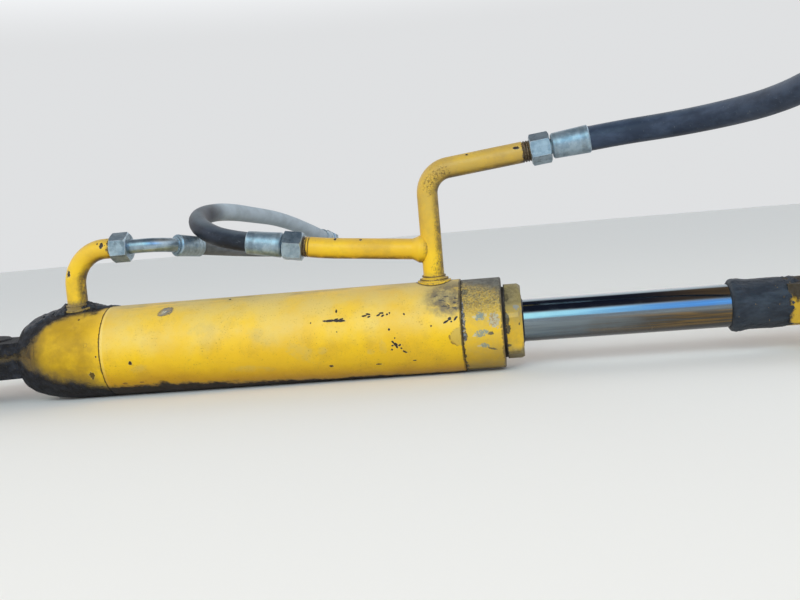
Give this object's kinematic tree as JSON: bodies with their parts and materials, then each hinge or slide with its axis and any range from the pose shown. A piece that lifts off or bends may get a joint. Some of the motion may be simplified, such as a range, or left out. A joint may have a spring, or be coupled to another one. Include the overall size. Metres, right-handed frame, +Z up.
{
  "type": "hydraulic steering cylinder",
  "caption": "Double-acting hydraulic steering cylinder of an articulated loader, with eye bearings, chrome rod, welded hard lines and hoses.",
  "frame": {"origin": "centre of the base eye's bearing bore, halfway through its ring", "axes": "+X along the cylinder from the base eye to the rod eye, +Z up along the pins, +Y away from the side that carries the camera in the picture"},
  "size_m": [1.1223, 1.0498, 0.3228],
  "materials": {
    "paint": "worn yellow machine enamel, dusty on top",
    "rod_paint": "yellow enamel under a coat of dark grease",
    "chrome": "polished hard chrome",
    "steel": "ground bearing steel",
    "iron": "machined iron",
    "zinc": "dull zinc plate",
    "hose": "dusty black rubber cover",
    "wiper": "black seal rubber"
  },
  "bodies": {
    "base_ring": {"base_ring": "steel"},
    "barrel": {"barrel_tube": "paint", "base_clip_lower": "steel", "base_clip_upper": "steel", "base_elbow": "zinc", "base_eye": "paint", "base_far_ferrule": "zinc", "base_far_nut": "zinc", "base_ferrule": "zinc", "base_grease_fitting": "zinc", "base_hose": "hose", "base_line": "paint", "base_nut": "zinc", "base_race": "steel", "branch_far_ferrule": "zinc", "branch_far_nut": "zinc", "branch_ferrule": "zinc", "branch_hose": "hose", "branch_nut": "zinc", "gland_nut": "paint", "head_collar": "paint", "head_far_ferrule": "zinc", "head_far_nut": "zinc", "head_ferrule": "zinc", "head_hose": "hose", "head_line": "paint", "head_nut": "zinc", "rod_wiper": "wiper"},
    "rod": {"piston": "iron", "piston_nut": "steel", "rod": "chrome", "rod_clip_lower": "steel", "rod_clip_upper": "steel", "rod_eye": "rod_paint", "rod_grease_fitting": "zinc", "rod_race": "steel"},
    "rod_ring": {"rod_ring": "steel"}
  },
  "joints": [
    {"name": "base_swivel", "type": "hinge", "parent": "base_ring", "child": "barrel", "pos_m": [0, 0, 0], "axis": [0, 0, 1], "range_deg": [-25, 25]},
    {"name": "rod_slide", "type": "slide", "parent": "barrel", "child": "rod", "axis": [1, 0, 0], "range_m": [-0.21, 0.118]},
    {"name": "rod_swivel", "type": "hinge", "parent": "rod", "child": "rod_ring", "pos_m": [0.98, 0, 0], "axis": [0, 0, 1], "range_deg": [-25, 25]}
  ]
}
